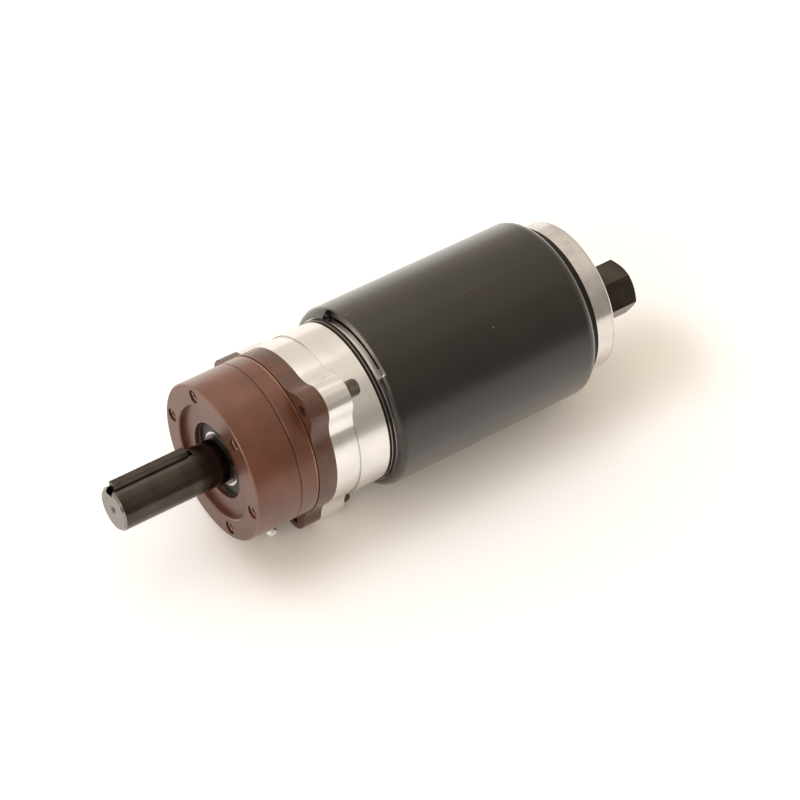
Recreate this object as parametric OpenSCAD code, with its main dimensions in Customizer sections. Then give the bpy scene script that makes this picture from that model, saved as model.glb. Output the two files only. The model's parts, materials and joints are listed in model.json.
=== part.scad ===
// Air vane motor with a planetary gearhead and a keyed output shaft.
// +X runs out along the shaft, +Z is up, and the origin is the centre of the front mounting face.

/* [Output shaft] */
// Diameter of the output shaft
shaft_d = 25.4; // [20:0.1:30]
// Reach of the shaft in front of the mounting face
shaft_reach = 61.5; // [45:0.5:90]
// Chamfer at the shaft's end
shaft_chamfer = 1.2; // [0.4:0.1:2]
// Diameter of the lathe centre hole in the shaft's end
centre_hole_d = 3.6; // [2:0.1:6]
// Width and height of the square key
key_w = 6.35; // [4:0.05:8]
// Height of the key above the shaft
key_rise = 2.8; // [1:0.05:3.5]
// Length of the key
key_len = 45; // [20:0.5:50]
// Distance from the shaft's end to the key
key_setback = 2.6; // [0:0.1:6]
// Length of keyway left open behind the key
keyway_run_out = 2.8; // [0:0.1:6]
// Angle of the key about the shaft, from +Y towards +Z
key_angle = 112; // [0:1:360]

/* [Nose flange] */
// Diameter of the nose flange and the gear case
body_d = 92.1; // [86:0.1:100]
// Length of the nose flange
nose_len = 27.6; // [26:0.1:36]
// Width of the front face around the pilot recess
face_w = 12.7; // [11:0.1:14]
// Depth of the pilot recess
recess_depth = 3.4; // [2:0.1:5]
// Height of the lips that hold the output bearings
bearing_lip_h = 3.2; // [2:0.1:4]
// Thickness of the lip in front of the front bearing
nose_lip = 2.6; // [2:0.1:4]
// Number of tapped holes in the front face
face_holes = 6; // [3:1:6]
// Diameter of the tapped holes
face_hole_d = 7.9; // [5:0.1:9]
// Depth of the tapped holes
face_hole_depth = 16; // [8:0.5:18]
// Chamfer on the flange's edges
edge_chamfer = 0.7; // [0.2:0.1:1.2]

/* [Lobed joint] */
// Number of screw lobes
lobes = 3; // [3:1:5]
// Step of the lobed flange over the body
lobe_step = 0.45; // [0.2:0.05:1.1]
// Diameter of a lobe's rounded tip
lobe_d = 24; // [20:0.5:28]
// Distance from the centre of a lobe out to its screw
lobe_setback = 5.5; // [4:0.1:6.5]
// Radius that blends a lobe into the body
lobe_blend_r = 17.5; // [8:0.5:30]
// Distance of the lobe screws from the side of the body
screw_out = 5.45; // [4.5:0.05:6.5]
// Thickness of the lobed flange on the gear case
case_flange_t = 11.2; // [8:0.1:14]
// Length of the lobed stretch on the gear housing
housing_lobe_len = 15.1; // [10:0.1:20]
// Diameter of the lobe screws
screw_d = 6.35; // [5:0.05:7]
// Diameter of the screw heads
screw_head_d = 9.5; // [8:0.1:11]
// Length of the screw heads
screw_head_len = 6.35; // [5:0.05:8]
// Length of the screws under the head
screw_len = 25.4; // [20:0.1:27]
// Thickness of the lock washers
washer_t = 1.6; // [1:0.1:2.4]

/* [Gear case and housing] */
// Length of the gear case
case_len = 22.2; // [21:0.1:28]
// Thickness of the wall between the two output bearings
case_lip = 3; // [2:0.1:5]
// Step of the gear housing over the body
housing_step = 1.15; // [0.5:0.05:2]
// Length of the gear housing
housing_len = 34.1; // [32:0.1:44]
// Length of the threaded spigot behind the gear housing
spigot_len = 11; // [8:0.1:16]
// Step from the gear housing down to its spigot
spigot_step = 2.7; // [2:0.1:3.5]

/* [Planetary gears] */
// Module of the gears
gear_module = 1.4; // [1.3:0.05:1.45]
// Teeth on the sun pinion
sun_teeth = 15; // [12:3:18]
// Teeth on each planet gear
planet_teeth = 18; // [15:3:18]
// Pressure angle of the teeth
pressure_angle = 20; // [18:0.5:22.5]
// Width of the gears
gear_w = 20; // [14:0.5:22]
// Thinning of each tooth flank for backlash
flank_thinning = 0.12; // [0.08:0.01:0.2]
// Diameter of the planet pins
pin_d = 10; // [8:0.1:11]
// Wall of the planet bushes
bush_wall = 1.9; // [1:0.1:2.4]
// Thickness of the carrier flange on the output shaft
carrier_t = 6.5; // [5:0.1:8]
// Thickness of the loose carrier plate
carrier_plate_t = 5; // [4:0.1:6]

/* [Output bearings] */
// Outer diameter of the output bearings
brg_od = 50.8; // [48:0.1:54]
// Width of the output bearings
brg_w = 12.7; // [11:0.1:13]
// Diameter of their balls
brg_ball_d = 7.9; // [7:0.1:8.5]
// Number of their balls
brg_balls = 9; // [7:1:10]

/* [Rotor bearings] */
// Bore of the front rotor bearing
front_brg_id = 15; // [12:0.5:17]
// Outer diameter of the front rotor bearing
front_brg_od = 35; // [34:0.5:38]
// Width of the front rotor bearing
front_brg_w = 11; // [9:0.5:12]
// Bore of the rear rotor bearing
rear_brg_id = 12; // [10:0.5:14]
// Outer diameter of the rear rotor bearing
rear_brg_od = 32; // [31:0.5:35]
// Width of the rear rotor bearing
rear_brg_w = 10; // [8:0.5:11]
// Diameter of the rotor bearings' balls
rotor_ball_d = 6; // [5:0.1:6.4]
// Number of balls in each rotor bearing
rotor_balls = 7; // [6:1:7]

/* [Vane motor] */
// Diameter of the rotor
rotor_d = 60; // [54:0.5:64]
// Offset of the rotor from the centre of the cylinder's bore
eccentricity = 2.8; // [2:0.1:4]
// Length of the cylinder
cylinder_len = 82; // [70:0.5:86]
// Number of vanes
vanes = 5; // [3:1:5]
// Thickness of a vane
vane_t = 3.2; // [2:0.1:5]
// Height of a vane along its slot
vane_h = 13; // [9:0.5:15]
// Thickness of the front end plate
front_plate_t = 15.3; // [14:0.1:17]
// Thickness of the rear end plate
rear_plate_t = 15; // [14:0.1:17]

/* [Motor housing and sleeve] */
// Wall of the motor housing under the exhaust chamber
motor_wall = 3.5; // [2.5:0.1:4.5]
// Length from the front of the motor housing to the rear cap
motor_len = 140.1; // [139:0.1:170]
// Height of the exhaust chamber under the sleeve
chamber_h = 1.45; // [1:0.05:3]
// Height of the land that carries the front of the sleeve
front_land_h = 0.35; // [0.2:0.05:0.8]
// Wall of the exhaust sleeve
sleeve_wall = 3.6; // [2.5:0.1:4]
// Rounding of the sleeve's front edge
sleeve_front_r = 4.5; // [1:0.1:4.7]
// Rounding of the sleeve's rear edge
sleeve_rear_r = 6; // [3:0.1:6.4]
// Distance of the sleeve's front edge behind the motor housing's front
sleeve_setback = 0.7; // [0.2:0.1:2]
// Axial depth of the exhaust notch in the sleeve's front edge
notch_depth = 3.2; // [1:0.1:4]
// Arc of the exhaust notch, in degrees
notch_arc = 62; // [30:1:90]

/* [Seal rings] */
// Thickness of the front seal ring
front_seal_t = 0.8; // [0.5:0.1:1.5]
// Thickness of the steel lock ring
lock_ring_t = 0.7; // [0.5:0.1:1.5]
// Thickness of the rear seal ring of the front joint
joint_seal_t = 1.5; // [0.5:0.1:2.5]
// Length of the seal ring in front of the rear cap that stands behind the sleeve
rear_seal_show = 4.6; // [2:0.1:6]
// Height of the rear seal ring above the rear cap
rear_seal_proud = 1.1; // [0.5:0.1:1.5]

/* [Rear cap and inlet] */
// Step of the rear cap over the motor's bore
cap_step = 0.65; // [0.3:0.05:2]
// Length of the rear cap behind the seal ring
cap_len = 13.3; // [12:0.1:20]
// Rounding of the rear cap's edge
cap_r = 1.6; // [1:0.1:5]
// Width across flats of the inlet fitting
hex_af = 28.6; // [26:0.1:34]
// Length of the hexagon of the inlet fitting
hex_len = 31; // [22:0.1:40]
// Diameter of the threaded inlet port
port_d = 18.4; // [15:0.1:20]
// Depth of the threaded inlet port
port_depth = 18; // [12:0.5:20]
// Angle of one corner of the hexagon, from +Y towards +Z
hex_angle = 7.4; // [0:0.1:60]
// Distance of the inlet fitting from the axis
inlet_offset = 10.2; // [0:0.1:14]
// Direction of the inlet fitting from the axis, from +Y towards +Z
inlet_angle = 0; // [0:1:360]

/* [Grease nipple] */
// Distance of the grease nipple in front of the gear case
nipple_margin = 4.6; // [4:0.1:6.5]
// Height of the grease nipple above the body
nipple_h = 10; // [6:0.5:12]

/* [Hidden] */
$fn = 96;

// Clearances, all radial or axial gaps in millimetres
fit_gap = 0.03;
run_gap = 0.05;
ball_gap = 0.15;
play = 0.2;
wide_gap = 1.5;
// Overshoot of a cutting tool past the face that it opens
over = 1;

// Colours of the finishes
brown_c = "#7b4a3a";
silver_c = "#d8d2c8";
black_c = "#2b2826";
charcoal_c = "#3a3735";
steel_c = "#a9a9a8";
bronze_c = "#a5793f";
vane_c = "#8a5a32";

// Radii of the main pieces
shaft_r = shaft_d / 2;
body_r = body_d / 2;
recess_r = body_r - face_w;
face_pcd = body_d - face_w;
pocket_r = brg_od / 2 + fit_gap;
nose_bore_r = pocket_r - bearing_lip_h;
screw_circle_r = body_r + screw_out;
lobe_circle_r = screw_circle_r - lobe_setback;
lobe_base_r = body_r + lobe_step;
housing_r = body_r + housing_step;
motor_bore_r = housing_r - spigot_step;
cylinder_bore_r = rotor_d / 2 + eccentricity + play;
chamber_r = motor_bore_r + motor_wall;
front_land_r = chamber_r + front_land_h;
sleeve_in_r = chamber_r + chamber_h;
sleeve_r = sleeve_in_r + sleeve_wall;
cap_side_r = motor_bore_r + cap_step;
rear_seal_r = cap_side_r + rear_seal_proud;

// Gear train
planet_count = 3;
ring_teeth = sun_teeth + 2 * planet_teeth;
planet_circle_r = gear_module * (sun_teeth + planet_teeth) / 2;
planet_pitch_r = gear_module * planet_teeth / 2;
tooth_clearance = 1.25;
ring_root_r = gear_module * ring_teeth / 2 + gear_module * tooth_clearance;
ring_wall = 3.6;
ring_od_r = ring_root_r + ring_wall;
carrier_rim = 7.5;
carrier_r = planet_circle_r + pin_d / 2 + carrier_rim;
gear_room_r = carrier_r + wide_gap;
sun_tip_r = gear_module * (sun_teeth / 2 + 1);

// Short axial steps: shoulders, running gaps between gears and carrier, and thread engagement
shoulder_len = 1;
gear_gap = 1.2;
plate_gap = 0.8;
sun_setback = 0.6;
sun_overhang = 2;
spigot_bite = 4;
sleeve_lip_t = 3.2;
bearing_inset = 1;
land_len = 10;
// Angle by which the air passage under the sleeve is narrower than its notch
passage_margin = 10;

// Places along the axis, each measured from the front face backwards
x_bearing_1 = -recess_depth - nose_lip;
x_bearing_1_end = x_bearing_1 - brg_w;
x_case = -nose_len;
x_bearing_2 = x_case - case_lip;
x_bearing_2_end = x_bearing_2 - brg_w;
x_carrier = x_bearing_2_end - shoulder_len;
x_carrier_end = x_carrier - carrier_t;
x_case_end = x_case - case_len;
x_flange = x_case_end + case_flange_t;
x_gears = min(x_carrier_end, x_case_end) - gear_gap;
x_gears_end = x_gears - gear_w;
x_plate = x_gears_end - plate_gap;
x_plate_end = x_plate - carrier_plate_t;
x_lobe_end = x_case_end - housing_lobe_len;
x_screw_head = x_lobe_end - washer_t;
x_screw_end = x_screw_head - screw_head_len;
x_housing_end = x_case_end - housing_len;
x_lock_ring = x_housing_end - front_seal_t;
x_joint_seal = x_lock_ring - lock_ring_t;
x_motor = x_joint_seal - joint_seal_t;
x_spigot_end = min(x_housing_end - spigot_len, x_motor - spigot_bite);
x_front_plate_end = x_spigot_end - front_plate_t;
x_cylinder_end = x_front_plate_end - cylinder_len;
x_rear_plate_end = x_cylinder_end - rear_plate_t;
x_cap = x_motor - motor_len;
x_cap_end = x_cap - cap_len;
x_inlet_end = x_cap_end - hex_len;
x_sleeve = x_motor - sleeve_setback;
x_sleeve_end = x_cap + rear_seal_show;
x_motor_end = x_sleeve_end + sleeve_lip_t;
x_rotor_brg_1 = x_spigot_end - bearing_inset;
x_rotor_brg_1_end = x_rotor_brg_1 - front_brg_w;
x_rotor_brg_2_end = x_rear_plate_end + bearing_inset;
x_rotor_brg_2 = x_rotor_brg_2_end + rear_brg_w;
x_sun = x_gears - sun_setback;
x_sun_end = x_plate_end - sun_overhang;

// Angles about the axis, from +Y towards +Z
eccentric_angle = 30;
notch_angle = 90;
first_lobe_angle = 60;
// The nipple is in line with the lowest lobe
nipple_angle = 300;

// Turns a model made along Z so that Z lies along +X, and its X and Y become +Y and +Z
module axial() {
    rotate([90, 0, 90]) children();
}

// A plain ring between two radii and two places on the axis
module ring_at(r_in, r_out, from, to) {
    rotate_extrude()
        translate([r_in, min(from, to)])
            square([r_out - r_in, abs(from - to)]);
}

// A drill of one radius from one place on the axis to another
module drill(r, from, to) {
    translate([0, 0, min(from, to)])
        cylinder(r = r, h = abs(from - to));
}

// Repeats a child on a circle about the axis
module on_circle(r, count, start = 0) {
    for (i = [0:count - 1])
        rotate([0, 0, start + i * 360 / count])
            translate([r, 0, 0])
                children();
}

// Outline of a round body with screw lobes, each blended in by a concave arc
module lobed_outline() {
    tip_r = lobe_d / 2;
    blend_centre = lobe_base_r + lobe_blend_r;
    blend_angle = acos((lobe_circle_r ^ 2 + blend_centre ^ 2 - (tip_r + lobe_blend_r) ^ 2)
        / (2 * lobe_circle_r * blend_centre));
    circle(r = lobe_base_r);
    for (i = [0:lobes - 1])
        rotate(first_lobe_angle + i * 360 / lobes) {
            translate([lobe_circle_r, 0]) circle(r = tip_r);
            for (side = [-1, 1])
                difference() {
                    polygon([[0, 0], [lobe_circle_r, 0],
                        blend_centre * [cos(blend_angle), side * sin(blend_angle)]]);
                    translate(blend_centre * [cos(blend_angle), side * sin(blend_angle)])
                        circle(r = lobe_blend_r);
                }
        }
}

module lobed_block(from, to) {
    translate([0, 0, min(from, to)])
        linear_extrude(abs(from - to))
            lobed_outline();
}

// Involute function of an angle, in degrees
function involute(a) = tan(a) * 180 / PI - a;

// Half the angle that a tooth takes up at radius r
function tooth_half(r, pitch_r, teeth, grow) =
    let (base_r = pitch_r * cos(pressure_angle))
    90 / teeth + grow / pitch_r * 180 / PI + involute(pressure_angle)
        - involute(r > base_r ? acos(base_r / r) : 0);

// Points of one gear outline, with a tooth centred on angle 0
function gear_points(teeth, inner_r, outer_r, grow, steps = 5) =
    let (pitch_r = gear_module * teeth / 2)
    [for (t = [0:teeth - 1]) for (side = [-1, 1]) for (k = [0:steps])
        let (share = side < 0 ? k / steps : 1 - k / steps,
            r = inner_r + share * (outer_r - inner_r),
            a = t * 360 / teeth + side * tooth_half(r, pitch_r, teeth, grow))
        r * [cos(a), sin(a)]];

module external_gear(teeth, from, to) {
    pitch_r = gear_module * teeth / 2;
    translate([0, 0, min(from, to)])
        linear_extrude(abs(from - to))
            polygon(gear_points(teeth, pitch_r - gear_module * tooth_clearance,
                pitch_r + gear_module, -flank_thinning));
}

// Place of one planet gear, numbered from 1
function planet_angle(i) = (i - 1) * 360 / planet_count;

module at_planet(i) {
    rotate([0, 0, planet_angle(i)])
        translate([planet_circle_r, 0, 0])
            children();
}

// Rings, balls and cage of a ball bearing, with its front face at z
land_ratio = 0.41;
cage_ratio = 0.13;
cage_rim = 0.7;
function land_share(ball_d) = land_ratio * ball_d;
function ball_circle(id, od) = (id + od) / 4;

module bearing_outer(id, od, w, ball_d, z) {
    pitch_r = ball_circle(id, od);
    rotate_extrude()
        difference() {
            translate([pitch_r + land_share(ball_d), z - w])
                square([od / 2 - pitch_r - land_share(ball_d), w]);
            translate([pitch_r, z - w / 2]) circle(d = ball_d + 2 * ball_gap);
        }
}

module bearing_inner(id, od, w, ball_d, z) {
    pitch_r = ball_circle(id, od);
    bore_r = id / 2 + fit_gap;
    rotate_extrude()
        difference() {
            translate([bore_r, z - w])
                square([pitch_r - land_share(ball_d) - bore_r, w]);
            translate([pitch_r, z - w / 2]) circle(d = ball_d + 2 * ball_gap);
        }
}

module bearing_balls(id, od, w, ball_d, count, z) {
    on_circle(ball_circle(id, od), count)
        translate([0, 0, z - w / 2])
            sphere(d = ball_d);
}

module bearing_cage(id, od, w, ball_d, count, z) {
    cage_half_t = cage_ratio * ball_d;
    cage_half_w = ball_d / 2 + cage_rim;
    difference() {
        ring_at(ball_circle(id, od) - cage_half_t, ball_circle(id, od) + cage_half_t,
            z - w / 2 - cage_half_w, z - w / 2 + cage_half_w);
        on_circle(ball_circle(id, od), count)
            translate([-ball_d / 2, 0, z - w / 2])
                rotate([0, 90, 0])
                    cylinder(d = ball_d + 2 * ball_gap, h = ball_d);
    }
}

// Output shaft with the carrier flange that holds the planet pins
clip_groove = 0.7;
clip_t = 1.3;
clip_proud = 1.7;
shoulder_h = 2.6;
shoulder_r = shaft_r + shoulder_h;
key_seat_r = shaft_r + key_rise - key_w;

module output_shaft() {
    keyway_len = key_setback + key_len + keyway_run_out;
    countersink = centre_hole_d / 4;
    color(black_c) axial() difference() {
        rotate_extrude()
            polygon([[0, x_carrier_end], [carrier_r, x_carrier_end], [carrier_r, x_carrier],
                [shoulder_r, x_carrier], [shoulder_r, x_bearing_2_end], [shaft_r, x_bearing_2_end],
                [shaft_r, shaft_reach - shaft_chamfer], [shaft_r - shaft_chamfer, shaft_reach],
                [0, shaft_reach]]);
        rotate([0, 0, key_angle])
            translate([key_seat_r, -key_w / 2, shaft_reach - keyway_len])
                cube([key_w + over, key_w, keyway_len + over]);
        drill(centre_hole_d / 2, shaft_reach - 2 * centre_hole_d, shaft_reach + over);
        translate([0, 0, shaft_reach - countersink])
            cylinder(d1 = centre_hole_d, d2 = 3 * centre_hole_d, h = centre_hole_d);
        ring_at(shaft_r - clip_groove, shaft_r + over, x_bearing_1, x_bearing_1 + clip_t);
        on_circle(planet_circle_r, planet_count)
            drill(pin_d / 2 + fit_gap, x_carrier_end - over, x_carrier + over);
    }
}

module shaft_key() {
    key_edge = 0.4;
    section = key_w - 2 * fit_gap;
    color(black_c) axial() rotate([0, 0, key_angle])
        translate([key_seat_r + fit_gap, 0, shaft_reach - key_setback - key_len])
            linear_extrude(key_len)
                polygon([[0, -section / 2], [key_w - key_edge, -section / 2],
                    [key_w, -section / 2 + key_edge], [key_w, section / 2 - key_edge],
                    [key_w - key_edge, section / 2], [0, section / 2]]);
}

// Open retaining ring in front of the front bearing
module shaft_circlip() {
    clip_out_r = shaft_r + clip_proud;
    mouth = 4;
    color(black_c) axial() difference() {
        ring_at(shaft_r - clip_groove + fit_gap, clip_out_r,
            x_bearing_1 + fit_gap, x_bearing_1 + clip_t - fit_gap);
        rotate([0, 0, key_angle + 180])
            translate([0, -mouth / 2, x_bearing_1])
                cube([clip_out_r + over, mouth, clip_t]);
    }
}

// Front flange with the pilot recess, the tapped holes and the front bearing's seat
module nose_flange() {
    color(brown_c) difference() {
        axial() difference() {
            rotate_extrude()
                polygon([[pocket_r, x_case], [body_r - edge_chamfer, x_case],
                    [body_r, x_case + edge_chamfer], [body_r, -edge_chamfer],
                    [body_r - edge_chamfer, 0], [recess_r + edge_chamfer, 0],
                    [recess_r, -edge_chamfer], [recess_r, -recess_depth],
                    [nose_bore_r, -recess_depth], [nose_bore_r, x_bearing_1], [pocket_r, x_bearing_1]]);
            on_circle(face_pcd / 2, face_holes)
                drill(face_hole_d / 2, -face_hole_depth, over);
        }
        at_nipple() drill(nipple_thread_r + fit_gap, -nipple_thread_len, over);
        at_nipple() drill(nipple_duct_r, -body_r, over);
    }
}

// Gear case: seat of the rear output bearing, carrier room and lobed flange
module gear_case() {
    spigot_r = pocket_r - fit_gap;
    neck_r = body_r - edge_chamfer;
    color(brown_c) difference() {
        axial() difference() {
            union() {
                rotate_extrude()
                    polygon([[0, x_flange - over], [neck_r, x_flange - over], [neck_r, x_flange],
                        [body_r, x_flange + edge_chamfer], [body_r, x_case - edge_chamfer],
                        [neck_r, x_case], [0, x_case]]);
                drill(spigot_r, x_case - over, x_bearing_1_end - fit_gap);
                lobed_block(x_case_end, x_flange);
                ring_at(gear_room_r - over, ring_od_r, x_gears + fit_gap, x_case_end + over);
            }
            drill(nose_bore_r, x_case_end - over, x_bearing_1_end + over);
            drill(pocket_r, x_bearing_2_end - over, x_bearing_2);
            drill(gear_room_r, x_gears - over, x_bearing_2_end);
            on_circle(screw_circle_r, lobes, first_lobe_angle)
                drill(screw_d / 2 + fit_gap, x_case_end - over, x_flange + over);
        }
        at_nipple() drill(nipple_duct_r, -body_r, over);
    }
}

// Gear housing: lobed front, round body and the spigot that screws into the motor housing
module gear_housing() {
    spigot_r = motor_bore_r - fit_gap;
    hole_gap = 0.2;
    small_edge = 0.4;
    color(silver_c) axial() difference() {
        union() {
            lobed_block(x_lobe_end, x_case_end);
            rotate_extrude()
                polygon([[0, x_lobe_end], [housing_r, x_lobe_end],
                    [housing_r, x_housing_end + small_edge], [housing_r - small_edge, x_housing_end],
                    [spigot_r, x_housing_end], [spigot_r, x_spigot_end], [0, x_spigot_end]]);
        }
        drill(ring_od_r + fit_gap, x_gears_end - fit_gap, x_case_end + over);
        drill(gear_room_r, x_spigot_end - over, x_case_end);
        on_circle(screw_circle_r, lobes, first_lobe_angle)
            drill(screw_d / 2 + hole_gap, x_lobe_end - over, x_case_end + over);
        on_circle(screw_circle_r, lobes, first_lobe_angle)
            drill(screw_head_d / 2 + play, x_screw_end - play, x_lobe_end);
    }
}

// Socket head screws of the lobed joint, put in from behind
module lobe_screws() {
    socket_af = 4.8;
    socket_depth = 3.2;
    crown = 0.6;
    color(black_c) axial() on_circle(screw_circle_r, lobes, first_lobe_angle)
        difference() {
            rotate_extrude()
                polygon([[0, x_screw_end], [screw_head_d / 2 - crown, x_screw_end],
                    [screw_head_d / 2, x_screw_end + crown], [screw_head_d / 2, x_screw_head],
                    [screw_d / 2, x_screw_head], [screw_d / 2, x_screw_head + screw_len - crown],
                    [screw_d / 2 - crown, x_screw_head + screw_len], [0, x_screw_head + screw_len]]);
            translate([0, 0, x_screw_end - over])
                cylinder(d = socket_af / cos(30), h = socket_depth + over, $fn = 6);
        }
}

module lock_washers() {
    split = 0.8;
    bore_gap = 0.15;
    rim_inset = 0.1;
    color(black_c) axial() on_circle(screw_circle_r, lobes, first_lobe_angle)
        difference() {
            ring_at(screw_d / 2 + bore_gap, screw_head_d / 2 - rim_inset,
                x_screw_head, x_lobe_end);
            translate([0, -split / 2, x_screw_head - over])
                cube([screw_head_d, split, washer_t + 2 * over]);
        }
}

// Sleeve between the inner rings of the two output bearings
module bearing_spacer() {
    color(steel_c) axial()
        ring_at(shaft_r + fit_gap, shoulder_r, x_bearing_2, x_bearing_1_end);
}

// Pair of steel shields in the front bearing
module front_bearing_shields() {
    shield_t = 0.9;
    inset = 0.4;
    pitch_r = ball_circle(shaft_d, brg_od);
    color(steel_c) axial()
        for (z = [x_bearing_1 - inset, x_bearing_1_end + inset + shield_t])
            ring_at(pitch_r - land_share(brg_ball_d) + play,
                pitch_r + land_share(brg_ball_d) - fit_gap, z - shield_t, z);
}

module ring_gear() {
    phase = 180 * (planet_teeth - 1) / ring_teeth;
    pitch_r = gear_module * ring_teeth / 2;
    color(steel_c) axial() difference() {
        drill(ring_od_r, x_gears_end, x_gears);
        translate([0, 0, x_gears_end - over])
            linear_extrude(gear_w + 2 * over)
                rotate(phase)
                    polygon(gear_points(ring_teeth, pitch_r - gear_module, ring_root_r,
                        flank_thinning));
    }
}

module planet_gear(i) {
    turn = 180 + planet_angle(i) * sun_teeth / planet_teeth - 180 / planet_teeth;
    color(steel_c) axial() at_planet(i) difference() {
        rotate([0, 0, turn]) external_gear(planet_teeth, x_gears_end, x_gears);
        drill(pin_d / 2 + bush_wall + fit_gap, x_gears_end - over, x_gears + over);
    }
}

module planet_bush(i) {
    color(bronze_c) axial() at_planet(i)
        ring_at(pin_d / 2 + run_gap, pin_d / 2 + bush_wall, x_gears_end, x_gears);
}

module planet_pins() {
    color(steel_c) axial() on_circle(planet_circle_r, planet_count)
        drill(pin_d / 2, x_plate_end, x_carrier);
}

module carrier_plate() {
    color(steel_c) axial() difference() {
        drill(carrier_r, x_plate_end, x_plate);
        drill(sun_tip_r + wide_gap, x_plate_end - over, x_plate + over);
        on_circle(planet_circle_r, planet_count)
            drill(pin_d / 2 + fit_gap, x_plate_end - over, x_plate + over);
    }
}

// Pinion pressed on the rotor's nose, which is a step smaller than the front bearing's seat
sun_seat_r = 5.5;
seat_step = 1;
sun_bore_r = min(sun_seat_r, front_brg_id / 2 - seat_step);

module sun_pinion() {
    color(steel_c) axial() difference() {
        external_gear(sun_teeth, x_sun_end, x_sun);
        drill(sun_bore_r + fit_gap, x_sun_end - over, x_sun + over);
    }
}

// Slotted rotor with its journals
rotor_front = x_front_plate_end - play;
rotor_end = x_cylinder_end + play;
rotor_step = 2;
slot_root_r = rotor_d / 2 - vane_h - play;

module rotor() {
    front_r = front_brg_id / 2;
    rear_r = rear_brg_id / 2;
    color(steel_c) axial() difference() {
        rotate_extrude()
            polygon([[0, x_rotor_brg_2_end - rotor_step], [rear_r, x_rotor_brg_2_end - rotor_step],
                [rear_r, x_rotor_brg_2], [rear_r + rotor_step, x_rotor_brg_2],
                [rear_r + rotor_step, rotor_end], [rotor_d / 2, rotor_end], [rotor_d / 2, rotor_front],
                [front_r + rotor_step, rotor_front], [front_r + rotor_step, x_rotor_brg_1_end],
                [front_r, x_rotor_brg_1_end], [front_r, x_sun_end], [sun_bore_r, x_sun_end],
                [sun_bore_r, x_sun], [0, x_sun]]);
        for (i = [1:vanes])
            rotate([0, 0, vane_angle(i)])
                translate([slot_root_r, -vane_t / 2 - run_gap, rotor_end - over])
                    cube([vane_h + play + over, vane_t + 2 * run_gap,
                        rotor_front - rotor_end + 2 * over]);
    }
}

function vane_angle(i) = eccentric_angle + i * 360 / vanes;

// A vane pushed home in its slot
module vane(i) {
    if (i <= vanes)
        color(vane_c) axial() rotate([0, 0, vane_angle(i)])
            translate([slot_root_r + play / 2, -vane_t / 2, rotor_end])
                cube([vane_h, vane_t, rotor_front - rotor_end]);
}

// Cylinder with the eccentric bore and its row of exhaust slots
exhaust_slots = 6;
exhaust_slot_w = 5;
exhaust_slot_arc = 40;

module exhaust_ports(r_in, r_out) {
    pitch = cylinder_len / (exhaust_slots + 1);
    for (i = [1:exhaust_slots])
        rotate([0, 0, notch_angle - exhaust_slot_arc / 2])
            rotate_extrude(angle = exhaust_slot_arc)
                translate([r_in, x_front_plate_end - i * pitch - exhaust_slot_w / 2])
                    square([r_out - r_in, exhaust_slot_w]);
}

module cylinder_body() {
    color(steel_c) axial() difference() {
        drill(motor_bore_r - fit_gap, x_cylinder_end, x_front_plate_end);
        rotate([0, 0, eccentric_angle])
            translate([eccentricity, 0, 0])
                drill(cylinder_bore_r, x_cylinder_end - over, x_front_plate_end + over);
        exhaust_ports(rotor_d / 2, motor_bore_r + over);
    }
}

module front_end_plate() {
    color(steel_c) axial() difference() {
        drill(motor_bore_r - fit_gap, x_front_plate_end, x_spigot_end);
        drill(front_brg_od / 2 + fit_gap, x_rotor_brg_1_end, x_spigot_end + over);
        drill(front_brg_id / 2 + rotor_step + wide_gap, x_front_plate_end - over, x_spigot_end);
    }
}

// Rear plate with the curved inlet port that feeds the cylinder
module rear_end_plate() {
    port_arc = 50;
    port_turn = 120;
    port_r = (rear_brg_od / 2 + cylinder_bore_r) / 2;
    port_w = 5;
    color(steel_c) axial() difference() {
        drill(motor_bore_r - fit_gap, x_rear_plate_end, x_cylinder_end);
        drill(rear_brg_od / 2 + fit_gap, x_rear_plate_end - over, x_rotor_brg_2);
        drill(rear_brg_id / 2 + rotor_step + wide_gap, x_rear_plate_end, x_cylinder_end + over);
        rotate([0, 0, eccentric_angle - port_turn])
            rotate_extrude(angle = port_arc)
                translate([port_r - port_w / 2, x_rear_plate_end - over])
                    square([port_w, rear_plate_t + 2 * over]);
    }
}

// Rings clamped between the gear housing and the motor housing
module front_seal() {
    inset = 0.2;
    color(black_c) axial() ring_at(motor_bore_r, housing_r - inset, x_lock_ring, x_housing_end);
}

module lock_ring() {
    proud = 0.5;
    color(steel_c) axial() ring_at(motor_bore_r, housing_r + proud, x_joint_seal, x_lock_ring);
}

module joint_seal() {
    color(black_c) axial() ring_at(motor_bore_r, housing_r, x_motor, x_joint_seal);
}

// Motor housing: two lands carry the sleeve, and the front one is open under the exhaust notch
module motor_housing() {
    channel_arc = notch_arc + passage_margin;
    color(silver_c) axial() difference() {
        union() {
            ring_at(motor_bore_r, chamber_r, x_motor_end, x_motor);
            rotate([0, 0, notch_angle + channel_arc / 2])
                rotate_extrude(angle = 360 - channel_arc)
                    translate([chamber_r - over, x_motor - land_len])
                        square([over + front_land_h - fit_gap, land_len]);
            ring_at(motor_bore_r, sleeve_in_r - fit_gap, x_motor_end, x_motor_end + land_len);
        }
        exhaust_ports(motor_bore_r - over, chamber_r + over);
    }
}

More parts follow.
